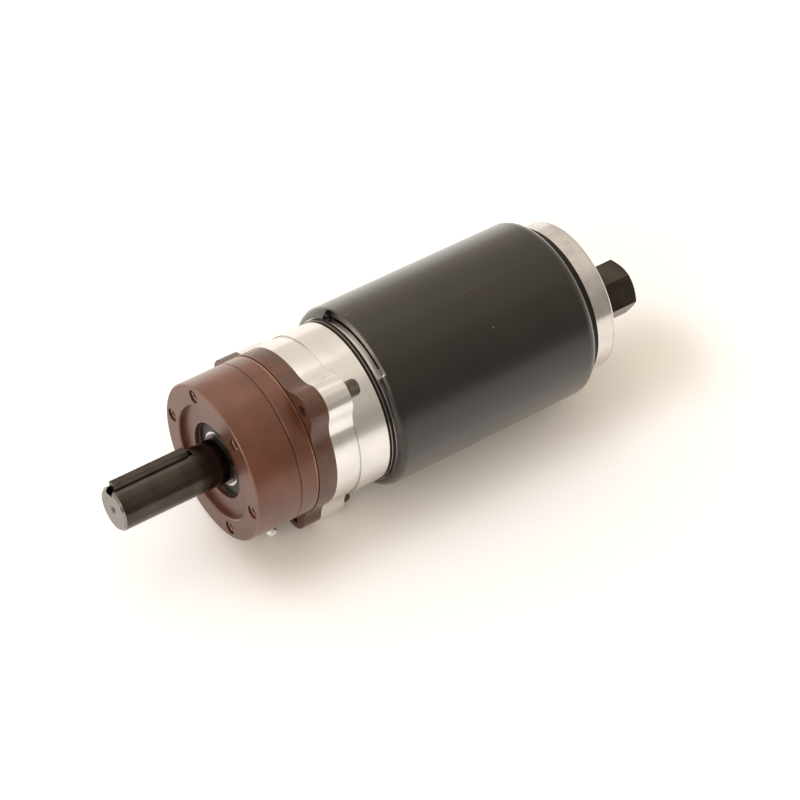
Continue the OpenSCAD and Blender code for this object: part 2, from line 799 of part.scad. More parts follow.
// Section of the sleeve's wall: thick rounded front, rounded rear edge and an inward rear lip
module sleeve_section() {
    difference() {
        union() {
            translate([sleeve_in_r, x_sleeve_end])
                square([sleeve_wall, x_sleeve - x_sleeve_end]);
            translate([front_land_r, x_sleeve - land_len])
                square([sleeve_r - front_land_r, land_len]);
            translate([rear_seal_r + fit_gap, x_sleeve_end])
                square([sleeve_r - rear_seal_r - fit_gap, sleeve_lip_t - fit_gap]);
        }
        edge_cut(sleeve_r, x_sleeve, min(sleeve_front_r, sleeve_r - front_land_r), 1);
        edge_cut(sleeve_r, x_sleeve_end, min(sleeve_rear_r, sleeve_r - rear_seal_r - fit_gap), -1);
    }
}

// What a rounding takes off an outer corner at (r, z), where the body lies on the far side of z
module edge_cut(r, z, round_r, side) {
    difference() {
        translate([r - round_r, side > 0 ? z - round_r : z - over])
            square([round_r + over, round_r + over]);
        translate([r - round_r, z - side * round_r]) circle(r = round_r);
    }
}

// Outline of the exhaust notch, seen from outside: its front edge lies on Y = 0 and its corners are round
module notch_outline() {
    straight = 2 * (sleeve_r * sin(notch_arc / 2) - notch_depth);
    translate([-straight / 2, -notch_depth]) square([straight, notch_depth + over]);
    for (side = [-1, 1])
        translate([side * straight / 2, 0]) circle(r = notch_depth);
}

// Sleeve with the exhaust notch, milled straight in from outside, and the air passage under it
module exhaust_sleeve() {
    passage_arc = notch_arc - passage_margin;
    color(charcoal_c) axial() difference() {
        rotate_extrude() sleeve_section();
        rotate([0, 0, notch_angle])
            translate([0, 0, x_sleeve])
                axial() linear_extrude(sleeve_r + over) notch_outline();
        rotate([0, 0, notch_angle - passage_arc / 2])
            rotate_extrude(angle = passage_arc)
                translate([chamber_r, x_sleeve - land_len - over])
                    square([chamber_h - play, land_len + 2 * over]);
    }
}

// Rubber ring between the motor housing, the sleeve's lip and the rear cap
module rear_seal() {
    color(black_c) axial() ring_at(motor_bore_r, rear_seal_r, x_cap, x_motor_end);
}

module rear_cap() {
    air_room_r = 30;
    floor_t = 5;
    color(silver_c) axial() difference() {
        rotate_extrude()
            difference() {
                union() {
                    translate([0, x_cap_end]) square([cap_side_r, cap_len]);
                    translate([0, x_cap - over])
                        square([motor_bore_r - fit_gap, x_rear_plate_end - x_cap + over]);
                }
                edge_cut(cap_side_r, x_cap_end, cap_r, -1);
            }
        drill(air_room_r, x_cap_end + inlet_thread_len + floor_t, x_rear_plate_end + over);
        at_inlet() drill(inlet_thread_r + fit_gap, x_cap_end - over, x_rear_plate_end);
    }
}

// Hexagonal inlet fitting screwed into the rear cap
hex_shoulder = 3;
inlet_thread_r = hex_af / 2 - hex_shoulder;
inlet_thread_len = 11;

// Frame on the inlet's own axis
module at_inlet() {
    translate(inlet_offset * [cos(inlet_angle), sin(inlet_angle), 0]) children();
}

module inlet_fitting() {
    hex_r = hex_af / 2 / cos(30);
    corner = 2.2;
    duct_step = 1.5;
    duct_r = port_d / 2 - duct_step;
    color(black_c) axial() at_inlet() difference() {
        union() {
            intersection() {
                rotate([0, 0, hex_angle])
                    translate([0, 0, x_inlet_end])
                        cylinder(r = hex_r, h = hex_len, $fn = 6);
                rotate_extrude()
                    polygon([[0, x_inlet_end], [hex_r - corner, x_inlet_end],
                        [hex_r + corner, x_inlet_end + corner], [hex_r + corner, x_cap_end],
                        [0, x_cap_end]]);
            }
            drill(inlet_thread_r, x_cap_end - over, x_cap_end + inlet_thread_len);
        }
        drill(port_d / 2, x_inlet_end - over, x_inlet_end + port_depth);
        drill(duct_r, x_inlet_end, x_cap_end + inlet_thread_len + over);
    }
}

// Grease nipple on the underside of the nose: thread, hexagon and round head
nipple_thread_r = 3;
nipple_thread_len = 7;
nipple_duct_r = 1.2;

// Frame at the nipple's seat, with Z pointing out of the body
module at_nipple() {
    axial() rotate([0, 0, nipple_angle])
        translate([body_r, 0, nipple_margin - nose_len])
            rotate([0, 90, 0])
                children();
}

module grease_nipple() {
    hex_h = 3;
    nipple_af = 8;
    neck_r = 2;
    head_r = 3.2;
    color(silver_c) at_nipple() difference() {
        union() {
            drill(nipple_thread_r, -nipple_thread_len, 0);
            cylinder(d = nipple_af / cos(30), h = hex_h, $fn = 6);
            drill(neck_r, 0, nipple_h - head_r);
            translate([0, 0, nipple_h - head_r]) sphere(r = head_r);
        }
        drill(nipple_duct_r, -nipple_thread_len - over, nipple_h - head_r);
    }
}

// Ball bearings of the output shaft and of the rotor, by their part
module front_bearing(piece) {
    axial() bearing_piece(piece, shaft_d, brg_od, brg_w, brg_ball_d, brg_balls, x_bearing_1);
}

module rear_bearing(piece) {
    axial() bearing_piece(piece, shaft_d, brg_od, brg_w, brg_ball_d, brg_balls, x_bearing_2);
}

module rotor_front_bearing(piece) {
    axial() bearing_piece(piece, front_brg_id, front_brg_od, front_brg_w, rotor_ball_d, rotor_balls,
        x_rotor_brg_1);
}

module rotor_rear_bearing(piece) {
    axial() bearing_piece(piece, rear_brg_id, rear_brg_od, rear_brg_w, rotor_ball_d, rotor_balls,
        x_rotor_brg_2);
}

module bearing_piece(piece, id, od, w, ball_d, count, z) {
    if (piece == "outer") color(steel_c) bearing_outer(id, od, w, ball_d, z);
    if (piece == "inner") color(silver_c) bearing_inner(id, od, w, ball_d, z);
    if (piece == "balls") color(steel_c) bearing_balls(id, od, w, ball_d, count, z);
    if (piece == "cage") color(bronze_c) bearing_cage(id, od, w, ball_d, count, z);
}

output_shaft();
shaft_key();
shaft_circlip();
nose_flange();
gear_case();
front_bearing("outer");  // front_bearing_outer
front_bearing("inner");  // front_bearing_inner
front_bearing("balls");  // front_bearing_balls
front_bearing("cage");  // front_bearing_cage
front_bearing_shields();
bearing_spacer();
rear_bearing("outer");  // rear_bearing_outer
rear_bearing("inner");  // rear_bearing_inner
rear_bearing("balls");  // rear_bearing_balls
rear_bearing("cage");  // rear_bearing_cage
gear_housing();
lobe_screws();
lock_washers();
ring_gear();
planet_gear(1);  // planet_gear_1
planet_gear(2);  // planet_gear_2
planet_gear(3);  // planet_gear_3
planet_bush(1);  // planet_bush_1
planet_bush(2);  // planet_bush_2
planet_bush(3);  // planet_bush_3
planet_pins();
carrier_plate();
sun_pinion();
rotor();
vane(1);  // vane_1
vane(2);  // vane_2
vane(3);  // vane_3
vane(4);  // vane_4
vane(5);  // vane_5
cylinder_body();  // cylinder
front_end_plate();
rear_end_plate();
rotor_front_bearing("outer");  // rotor_front_outer
rotor_front_bearing("inner");  // rotor_front_inner
rotor_front_bearing("balls");  // rotor_front_balls
rotor_front_bearing("cage");  // rotor_front_cage
rotor_rear_bearing("outer");  // rotor_rear_outer
rotor_rear_bearing("inner");  // rotor_rear_inner
rotor_rear_bearing("balls");  // rotor_rear_balls
rotor_rear_bearing("cage");  // rotor_rear_cage
front_seal();
lock_ring();
joint_seal();
motor_housing();
exhaust_sleeve();
rear_seal();
rear_cap();
inlet_fitting();
grease_nipple();
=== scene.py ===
"""Looks of the air vane motor: finishes, threads, knurled screws, floor, light and camera."""
import json
import math

import bmesh
import bpy
from mathutils import Matrix, Vector


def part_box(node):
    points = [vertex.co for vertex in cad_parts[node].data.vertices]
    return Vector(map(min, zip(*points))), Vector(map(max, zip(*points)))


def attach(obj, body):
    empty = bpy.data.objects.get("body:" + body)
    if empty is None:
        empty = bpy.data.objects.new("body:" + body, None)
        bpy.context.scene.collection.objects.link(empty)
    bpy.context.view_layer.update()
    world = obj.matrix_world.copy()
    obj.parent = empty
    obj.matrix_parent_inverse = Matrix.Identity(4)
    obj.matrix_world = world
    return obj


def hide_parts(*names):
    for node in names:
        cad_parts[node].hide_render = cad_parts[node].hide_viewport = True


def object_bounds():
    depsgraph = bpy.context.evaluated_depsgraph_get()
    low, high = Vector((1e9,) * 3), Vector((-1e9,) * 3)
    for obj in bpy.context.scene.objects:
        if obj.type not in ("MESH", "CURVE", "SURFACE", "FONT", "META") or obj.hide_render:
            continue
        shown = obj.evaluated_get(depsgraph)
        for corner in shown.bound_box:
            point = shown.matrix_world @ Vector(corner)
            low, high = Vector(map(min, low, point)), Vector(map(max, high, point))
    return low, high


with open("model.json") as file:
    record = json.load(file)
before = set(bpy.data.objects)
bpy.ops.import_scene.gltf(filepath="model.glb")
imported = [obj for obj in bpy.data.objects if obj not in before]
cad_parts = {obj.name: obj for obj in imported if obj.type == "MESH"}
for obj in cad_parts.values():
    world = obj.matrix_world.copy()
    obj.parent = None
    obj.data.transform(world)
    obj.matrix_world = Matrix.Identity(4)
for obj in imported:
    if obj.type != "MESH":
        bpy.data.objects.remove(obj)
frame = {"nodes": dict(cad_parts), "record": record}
cad_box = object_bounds()

nodes = frame["nodes"]
mounts = {mount["name"]: mount for mount in frame["record"]["mounts"]}


# Places on the part

# In metres; x runs along the axis and is 0 at the front face
MM = 0.001
NOSE_LEN = -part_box("nose_flange")[0][0]
CASE_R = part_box("nose_flange")[1][1]
SHAFT_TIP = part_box("output_shaft")[1][0]
SLEEVE_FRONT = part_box("exhaust_sleeve")[1][0]
CAP_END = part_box("rear_cap")[0][0]

# The case's round band lies between the nose and the lobed flange, and its edge is chamfered there
CASE_BAND_LEN = 11.0 * MM
FLANGE_X = -NOSE_LEN - CASE_BAND_LEN
# A light line of painted highlight runs round the band's chamfered edge
HIGHLIGHT_RIM_X = FLANGE_X + 0.8 * MM

# The notch in the sleeve's front edge: its depth, its end on the -Y side, and the cosine of the angle
# from the top that takes it in
NOTCH_DEPTH = 3.2 * MM
NOTCH_END_Y = -27 * MM
NOTCH_COSINE = 0.850

# A place along the axis that no piece reaches, for a mark that a finish goes without
OFF_THE_PART = 1.0


# Shader nodes

# Range that holds most values of a noise
NOISE_LOW, NOISE_HIGH = 0.3, 0.7
# Normals along the axis that count as a front face, and as a chamfer of about 45 degrees
FRONT_LOW, FRONT_HIGH = 0.80, 0.95
CHAMFER_RISE = (0.55, 0.68)
CHAMFER_FALL = (0.74, 0.86)
# Share by which lathe lines wander off their plane
LATHE_WANDER = 0.02
BEVEL_SAMPLES = 4
# Sockets that the Mix node uses for colours
MIX_FACTOR, MIX_FIRST, MIX_SECOND, MIX_RESULT = 0, 6, 7, 2


def shade(tone, share):
    """A colour times a share."""
    return tuple(value * share for value in tone)


class ShaderTree:
    """A node tree with short ways to add nodes to it."""

    def __init__(self, tree):
        self.tree = tree

    def add(self, kind, **settings):
        """Adds a node. The keys _0 and _1 are numbered sockets, a key that starts with a capital letter
        is a named socket, and the other keys are options."""
        node = self.tree.nodes.new(kind)
        for key, value in settings.items():
            if key[0] == "_" or key[0].isupper():
                socket = node.inputs[int(key[1:]) if key[0] == "_" else key.replace("_", " ")]
                if isinstance(value, bpy.types.NodeSocket):
                    self.tree.links.new(value, socket)
                else:
                    socket.default_value = value
            else:
                setattr(node, key, value)
        return node

    def math(self, operation, *values):
        """Result of a Math node."""
        sockets = {f"_{index}": value for index, value in enumerate(values)}
        return self.add("ShaderNodeMath", operation=operation, **sockets).outputs[0]

    def ramp(self, value, low, high, to_low=0.0, to_high=1.0):
        """Maps value smoothly from the range low to high onto to_low to to_high."""
        return self.add("ShaderNodeMapRange", interpolation_type="SMOOTHSTEP", Value=value, From_Min=low,
                        From_Max=high, To_Min=to_low, To_Max=to_high).outputs[0]


class Finish(ShaderTree):
    """A procedural material: one Principled shader and the nodes that feed it."""

    def __init__(self, name, **sockets):
        self.material = bpy.data.materials.new(name)
        self.material.use_nodes = True
        super().__init__(self.material.node_tree)
        self.shader = self.tree.nodes["Principled BSDF"]
        for socket, value in sockets.items():
            self.shader.inputs[socket.replace("_", " ")].default_value = value
        self.place = self.add("ShaderNodeTexCoord").outputs["Object"]
        split = self.add("ShaderNodeSeparateXYZ", Vector=self.place)
        self.x, self.y, self.z = (split.outputs[axis] for axis in "XYZ")
        across = self.add("ShaderNodeVectorMath", operation="MULTIPLY", _0=self.place, _1=(0, 1, 1))
        length = self.add("ShaderNodeVectorMath", operation="LENGTH", _0=across.outputs[0])
        self.radius = length.outputs["Value"]
        facing = self.add("ShaderNodeNewGeometry").outputs["Normal"]
        local = self.add("ShaderNodeVectorTransform", vector_type="NORMAL", convert_from="WORLD",
                         convert_to="OBJECT", Vector=facing).outputs[0]
        self.normal_x = self.add("ShaderNodeSeparateXYZ", Vector=local).outputs["X"]

    def set(self, socket, value):
        """Feeds a socket of the shader from a node."""
        self.tree.links.new(value, self.shader.inputs[socket])

    def noise(self, vector, scale, detail):
        """A noise, mostly between NOISE_LOW and NOISE_HIGH."""
        return self.add("ShaderNodeTexNoise", Vector=vector, Scale=scale, Detail=detail).outputs["Fac"]

    def spread(self, noise, to_low=0.0, to_high=1.0):
        """Maps a noise onto to_low to to_high."""
        return self.ramp(noise, NOISE_LOW, NOISE_HIGH, to_low, to_high)

    def turned(self, pitch):
        """Lathe lines: they run round the axis on a barrel and in rings on an end face."""
        along = self.math("MULTIPLY_ADD", self.y, LATHE_WANDER, self.x)
        outwards = self.math("MULTIPLY_ADD", self.z, LATHE_WANDER, self.radius)
        vector = self.add("ShaderNodeCombineXYZ", X=along, Y=outwards).outputs[0]
        return self.noise(vector, scale=1 / pitch, detail=1.0)

    def blend(self, factor, first, second):
        """Mixes two colours, each a tuple or a socket."""
        node = self.add("ShaderNodeMix", data_type="RGBA")
        self.tree.links.new(factor, node.inputs[MIX_FACTOR])
        for index, value in ((MIX_FIRST, first), (MIX_SECOND, second)):
            if isinstance(value, bpy.types.NodeSocket):
                self.tree.links.new(value, node.inputs[index])
            else:
                node.inputs[index].default_value = (*value, 1)
        return node.outputs[MIX_RESULT]

    def front_face(self, to_low=0.0, to_high=1.0):
        """to_high on faces that look forwards along the axis, else to_low."""
        return self.ramp(self.normal_x, FRONT_LOW, FRONT_HIGH, to_low, to_high)

    def chamfer(self, most):
        """most on faces that slope at about 45 degrees to the axis, else 0."""
        slope = self.math("ABSOLUTE", self.normal_x)
        rise = self.ramp(slope, *CHAMFER_RISE)
        fall = self.ramp(slope, *CHAMFER_FALL, to_low=1.0, to_high=0.0)
        return self.math("MULTIPLY", self.math("MULTIPLY", rise, fall), most)

    def band(self, x, inner, outer, most):
        """most within inner of the plane at x, falling to 0 at outer."""
        away = self.math("ABSOLUTE", self.math("SUBTRACT", self.x, x))
        return self.ramp(away, inner, outer, most, 0.0)

    def bump(self, height, distance, strength, edge_r=0.0):
        """Feeds the shader's normal from a height, on edges that are softened by a small radius."""
        node = self.add("ShaderNodeBump", Height=height, Distance=distance, Strength=strength)
        if edge_r:
            soft = self.add("ShaderNodeBevel", samples=BEVEL_SAMPLES, Radius=edge_r).outputs[0]
            self.tree.links.new(soft, node.inputs["Normal"])
        self.set("Normal", node.outputs[0])


# Finishes

def brown_anodised():
    """Reddish-brown anodising: a dark tone under a clear satin face, with painted shade in the seam behind
    the nose, stains on the lobed flange, and a painted highlight on the edge between them."""
    deep_brown = (0.128, 0.040, 0.0175)
    light_brown = (0.176, 0.054, 0.023)
    turned_brown = (0.19, 0.080, 0.052)
    chamfer_brown = (0.42, 0.22, 0.15)
    face_brown = (0.135, 0.066, 0.043)
    dark_stain = (0.064, 0.040, 0.027)
    light_stain = (0.108, 0.072, 0.052)
    highlight_brown = (0.50, 0.30, 0.20)
    seam_shade_black = (0.016, 0.007, 0.005)
    finish = Finish("brown_anodised", Metallic=0.25, Coat_Roughness=0.28, Coat_IOR=1.4)

    lines = finish.turned(pitch=0.9 * MM)
    clouds = finish.noise(finish.place, scale=45, detail=4)
    tone = finish.blend(finish.spread(clouds), deep_brown, light_brown)
    tone = finish.blend(finish.ramp(lines, 0.45, 0.75, to_high=0.12), tone, turned_brown)
    tone = finish.blend(finish.chamfer(most=0.2), tone, chamfer_brown)
    tone = finish.blend(finish.front_face(to_high=0.6), tone, face_brown)

    blotches = finish.ramp(finish.noise(finish.place, scale=110, detail=4), 0.35, 0.65, 0.35, 0.75)
    on_flange = finish.ramp(finish.x, FLANGE_X - 0.5 * MM, FLANGE_X, to_low=1.0, to_high=0.0)
    stained = finish.math("MULTIPLY", blotches, on_flange)
    speckle = finish.ramp(finish.noise(finish.place, scale=750, detail=3), 0.35, 0.65)
    tone = finish.blend(stained, tone, finish.blend(speckle, dark_stain, light_stain))

    # Painted highlight: a light line round the case band's chamfered edge, broken up in patches
    rim = finish.band(HIGHLIGHT_RIM_X, inner=0.3 * MM, outer=0.6 * MM, most=1.0)
    on_case = finish.ramp(finish.radius, CASE_R + 0.10 * MM, CASE_R + 0.25 * MM, to_low=1.0, to_high=0.0)
    patches = finish.ramp(finish.noise(finish.place, scale=55, detail=3), 0.35, 0.6, 0.25, 0.9)
    patchy = finish.math("MULTIPLY", finish.math("MULTIPLY", rim, on_case), patches)
    tone = finish.blend(patchy, tone, highlight_brown)

    # Painted shade: the seam groove at the nose's back end darkens towards black in patches, and shines
    # less there
    joint = finish.band(-NOSE_LEN, inner=0.2 * MM, outer=0.9 * MM, most=0.6)
    seam_shade_patches = finish.ramp(finish.noise(finish.place, scale=40, detail=2), 0.4, 0.6, 0.4, 1.0)
    seam_shade = finish.math("MULTIPLY", joint, seam_shade_patches)
    finish.set("Base Color", finish.blend(seam_shade, tone, seam_shade_black))

    shine = finish.front_face(0.62, 0.45)
    finish.set("Specular IOR Level", finish.math("SUBTRACT", shine, finish.math("MULTIPLY", seam_shade, 0.6)))
    clear = finish.front_face(0.6, 0.12)
    finish.set("Coat Weight", finish.math("MULTIPLY", clear, finish.ramp(stained, 0.0, 0.65, 1.0, 0.25)))
    finish.set("Roughness", finish.spread(lines, 0.30, 0.36))
    finish.bump(lines, distance=0.012 * MM, strength=0.2, edge_r=0.3 * MM)
    return finish.material


def bright_aluminium(name, tone, roughness, mottle, shade_line_x=OFF_THE_PART, oily_x=-OFF_THE_PART):
    """Turned aluminium: faint lathe lines, blotches that are darker for a larger mottle, a dark line of
    painted shade at the place given for it, painted shade on faces that look forwards along the axis, and
    a film of oil behind oily_x."""
    finish = Finish(name, Metallic=1.0, Anisotropic=0.3)
    lines = finish.turned(pitch=0.9 * MM)
    smudge = finish.noise(finish.place, scale=40, detail=3)
    stains = finish.noise(finish.place, scale=130, detail=5)
    dull = shade(tone, 1 - 0.5 * mottle)
    clean = finish.blend(finish.ramp(smudge, 0.35, 0.7), tone, shade(tone, 0.94))
    blotched = finish.blend(finish.ramp(stains, 0.40, 0.72), clean, dull)
    # A dark line of painted shade, standing in for the edge of a chamfer
    shade_line = finish.band(shade_line_x, inner=0.1 * MM, outer=0.35 * MM, most=0.45)
    oiled = finish.ramp(finish.x, oily_x - 0.2 * MM, oily_x, to_low=0.42, to_high=0.0)
    # Painted shade: faces that look forwards along the axis are darkened
    dark = finish.math("MAXIMUM", shade_line, finish.front_face(to_high=0.6))
    dark = finish.math("MAXIMUM", dark, oiled)
    finish.set("Base Color", finish.blend(dark, blotched, shade(dull, 0.4)))
    patchy = finish.math("ADD", finish.spread(lines, -0.01, 0.01), finish.spread(smudge, -0.02, 0.04))
    finish.set("Roughness", finish.math("ADD", patchy, roughness))
    finish.set("Tangent", finish.add("ShaderNodeTangent", direction_type="RADIAL", axis="X").outputs[0])
    finish.bump(lines, distance=0.002 * MM, strength=0.1)
    return finish.material


def charcoal_coating():
    """Dark coating with a satin shine, some dust and a few faint rub marks along the barrel. The walls
    of the notch are bare metal, darkened towards the -Y side by painted shade."""
    deep_black = (0.004, 0.003, 0.0025)
    light_black = (0.008, 0.006, 0.005)
    dust_grey = (0.30, 0.27, 0.24)
    notch_shade_black = (0.003, 0.0025, 0.002)
    notch_metal = (0.34, 0.33, 0.32)
    warm_shine = (1.0, 0.90, 0.80, 1)
    rub_stretch = (14, 160, 160)
    finish = Finish("charcoal_sleeve", Coat_Roughness=0.24, Coat_IOR=1.35, Specular_Tint=warm_shine)
    clouds = finish.noise(finish.place, scale=22, detail=4)
    grain = finish.noise(finish.place, scale=900, detail=2)
    tone = finish.blend(finish.spread(clouds), deep_black, light_black)

    specks = finish.add("ShaderNodeTexVoronoi", feature="F1", Vector=finish.place, Scale=75.0)
    size = finish.add("ShaderNodeSeparateColor", Color=specks.outputs["Color"]).outputs[0]
    dust = finish.math("LESS_THAN", specks.outputs["Distance"], finish.ramp(size, 0.72, 1.0, to_high=0.05))
    stretched = finish.add("ShaderNodeVectorMath", operation="MULTIPLY", _0=finish.place, _1=rub_stretch)
    rubs = finish.noise(stretched.outputs[0], scale=1.0, detail=3)
    rubs = finish.ramp(rubs, 0.66, 0.80, to_high=0.06)
    marks = finish.math("MAXIMUM", finish.math("MULTIPLY", dust, 0.5), rubs)
    tone = finish.blend(marks, tone, dust_grey)

    notch_back = SLEEVE_FRONT - NOTCH_DEPTH
    near_edge = finish.ramp(finish.x, notch_back - 0.1 * MM, notch_back)
    cosine = finish.math("DIVIDE", finish.z, finish.radius)
    notch = finish.math("MULTIPLY", near_edge, finish.ramp(cosine, NOTCH_COSINE - 0.005, NOTCH_COSINE))
    # Painted shade: towards the notch's -Y end the walls fade from bare metal to near black
    bare = finish.math("MULTIPLY", notch, finish.ramp(finish.y, NOTCH_END_Y, 0))
    tone = finish.blend(notch, tone, notch_shade_black)
    finish.set("Base Color", finish.blend(bare, tone, notch_metal))
    finish.set("Metallic", bare)
    finish.set("Specular IOR Level", finish.ramp(notch, 0.0, 1.0, 0.5, 0.05))
    finish.set("Coat Weight", finish.ramp(notch, 0.0, 1.0, 0.9, 0.0))
    finish.set("Roughness", finish.spread(clouds, 0.28, 0.36))
    finish.bump(grain, distance=0.02 * MM, strength=0.2, edge_r=0.3 * MM)
    return finish.material


def black_oxide(name, lift=1.0):
    """Oiled black oxide: dark barrels, with bare metal on the chamfers and on the ground shaft end.
    lift makes the barrels lighter."""
    deep_black = shade((0.060, 0.050, 0.042), lift)
    light_black = shade((0.088, 0.075, 0.064), lift)
    rubbed_steel = (0.50, 0.46, 0.42)
    dark_ground = (0.19, 0.175, 0.16)
    light_ground = (0.24, 0.225, 0.21)
    finish = Finish(name, Metallic=1.0)
    lines = finish.turned(pitch=0.5 * MM)
    clouds = finish.noise(finish.place, scale=70, detail=4)
    tone = finish.blend(finish.spread(clouds), deep_black, light_black)
    tone = finish.blend(finish.chamfer(most=0.45), tone, rubbed_steel)
    near_tip = finish.ramp(finish.x, SHAFT_TIP - 0.6 * MM, SHAFT_TIP - 0.2 * MM)
    tip = finish.math("MULTIPLY", near_tip, finish.front_face())
    ground = finish.blend(finish.spread(finish.turned(pitch=0.35 * MM)), dark_ground, light_ground)
    finish.set("Base Color", finish.blend(tip, tone, ground))
    finish.set("Roughness", finish.spread(clouds, 0.17, 0.25))
    finish.bump(lines, distance=0.002 * MM, strength=0.08, edge_r=0.2 * MM)
    return finish.material


# Radii over which plain metal goes from clean to oily, and the share of each colour that the oil leaves
OILY_FROM, OILY_TO = 38 * MM, 40 * MM
OIL_FILM = (0.34, 0.31, 0.28)
NO_OIL = (1.0, 1.0, 1.0)


def plain_steel(name, tone, roughness, oil=OIL_FILM):
    """Turned metal, dulled by a film of oil where it lies far from the axis."""
    finish = Finish(name, Metallic=1.0)
    lines = finish.turned(pitch=0.4 * MM)
    clouds = finish.noise(finish.place, scale=90, detail=3)
    clean = finish.blend(finish.spread(clouds), tone, shade(tone, 0.82))
    oily = tuple(value * share for value, share in zip(tone, oil))
    finish.set("Base Color", finish.blend(finish.ramp(finish.radius, OILY_FROM, OILY_TO), clean, oily))
    finish.set("Roughness", finish.spread(lines, roughness - 0.03, roughness + 0.05))
    finish.bump(lines, distance=0.003 * MM, strength=0.2)
    return finish.material


def bare_thread():
    """Brown threads whose crests are rubbed bright."""
    thread_brown = (0.18, 0.100, 0.072)
    crest_metal = (0.48, 0.335, 0.280)
    finish = Finish("brown_thread", Metallic=0.9)
    rubbed = finish.noise(finish.place, scale=1500, detail=2)
    finish.set("Base Color", finish.blend(finish.ramp(rubbed, 0.35, 0.65), thread_brown, crest_metal))
    finish.set("Roughness", finish.spread(rubbed, 0.3, 0.4))
    return finish.material


def rough_cast():
    """Grey cast iron, grainy and turned."""
    dark_iron = (0.20, 0.20, 0.20)
    light_iron = (0.27, 0.265, 0.26)
    finish = Finish("cast_iron", Metallic=0.8)
    lines = finish.turned(pitch=0.8 * MM)
    grain = finish.noise(finish.place, scale=700, detail=4)
    finish.set("Base Color", finish.blend(finish.spread(grain), dark_iron, light_iron))
    finish.set("Roughness", finish.spread(lines, 0.42, 0.55))
    finish.bump(grain, distance=0.02 * MM, strength=0.4)
    return finish.material


def vane_composite():
    """Brown fabric laminate of the vanes."""
    dark_weave = (0.20, 0.10, 0.05)
    light_weave = (0.27, 0.14, 0.075)
    finish = Finish("vane_composite", Metallic=0.0)
    weave = finish.add("ShaderNodeTexWave", wave_type="BANDS", bands_direction="DIAGONAL",
                       Vector=finish.place, Scale=400.0, Distortion=1.5).outputs["Fac"]
    finish.set("Base Color", finish.blend(weave, dark_weave, light_weave))
    finish.set("Roughness", finish.ramp(weave, 0.0, 1.0, 0.5, 0.6))
    finish.bump(weave, distance=0.02 * MM, strength=0.3)
    return finish.material


def black_rubber():
    """Dull black rubber of the seals."""
    deep_black = (0.010, 0.007, 0.005)
    light_black = (0.020, 0.015, 0.011)
    finish = Finish("black_rubber", Specular_IOR_Level=0.25)
    grain = finish.noise(finish.place, scale=500, detail=3)
    finish.set("Base Color", finish.blend(finish.spread(grain), deep_black, light_black))
    finish.set("Roughness", finish.spread(grain, 0.45, 0.6))
    finish.bump(grain, distance=0.02 * MM, strength=0.3)
    return finish.material


HOUSING_TONE = (0.87, 0.85, 0.82)
CAP_TONE = (0.74, 0.71, 0.68)
POLISHED_TONE = (0.70, 0.68, 0.66)
MACHINED_TONE = (0.30, 0.28, 0.26)
BRONZE_TONE = (0.55, 0.33, 0.14)
NICKEL_TONE = (0.93, 0.91, 0.88)
# Near black of the bearing shields: painted shade
SHADE_DARK_SHIELD_TONE = (0.040, 0.036, 0.032)

FINISHES = {
    "brown_anodised": brown_anodised(),
    "bright_aluminium": bright_aluminium("bright_aluminium", HOUSING_TONE, roughness=0.20, mottle=0.14,
                                         oily_x=SLEEVE_FRONT + 0.5 * MM),
    # The cap's dark line near its rear edge is painted shade
    "cap_aluminium": bright_aluminium("cap_aluminium", CAP_TONE, roughness=0.17, mottle=0.3,
                                      shade_line_x=CAP_END + 1.7 * MM),
    "charcoal_sleeve": charcoal_coating(),
    "black_oxide_steel": black_oxide("black_oxide_steel"),
    "polished_steel": plain_steel("polished_steel", POLISHED_TONE, roughness=0.16),
    "machined_steel": plain_steel("machined_steel", MACHINED_TONE, roughness=0.36),
    "cast_iron": rough_cast(),
    "bronze": plain_steel("bronze", BRONZE_TONE, roughness=0.35),
    "nickel_steel": plain_steel("nickel_steel", NICKEL_TONE, roughness=0.36, oil=NO_OIL),
    "vane_composite": vane_composite(),
    "black_rubber": black_rubber(),
}

for row in frame["record"]["subparts"]:
    mesh = nodes[row["node"]].data
    mesh.materials.clear()
    mesh.materials.append(FINISHES[row["material_slot"]])
# The bearing's steel shields are made near black: painted shade in the bore
nodes["front_bearing_shields"].data.materials[0] = plain_steel("shade_dark_shield", SHADE_DARK_SHIELD_TONE, roughness=0.34)


# Pieces that carry the fine forms

def piece(name, mesh_data, slot, body, material=None):
    """Makes a mesh object that rides on a body and takes the finish of a slot, or a finish of its own."""
    made = bpy.data.objects.new(name, mesh_data)
    bpy.context.scene.collection.objects.link(made)
    made.data.materials.append(material or FINISHES[slot])
    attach(made, body)
    return made


def axis_frame(origin, direction):
    """Matrix that puts local Z along a direction at an origin."""
    turn = Vector((0, 0, 1)).rotation_difference(Vector(direction)).to_matrix().to_4x4()
    return Matrix.Translation(origin) @ turn


def ring_points(place, level, radii):
    """Points round local Z at a level, evenly spaced, each at its own radius."""
    step = 2 * math.pi / len(radii)
    return [place @ Vector((r * math.cos(i * step), r * math.sin(i * step), level))
            for i, r in enumerate(radii)]


def add_skin(bm, rings):
    """Adds the faces between rings of vertices, one after the other."""
    for first, second in zip(rings, rings[1:]):
        for corner in range(len(first)):
            after = (corner + 1) % len(first)
            bm.faces.new((first[corner], first[after], second[after], second[corner]))


# A thread ridge's half width at its foot, as a share of the pitch, and its crest as a share of that
RIDGE_HALF_WIDTH = 0.42
RIDGE_CREST = 0.12


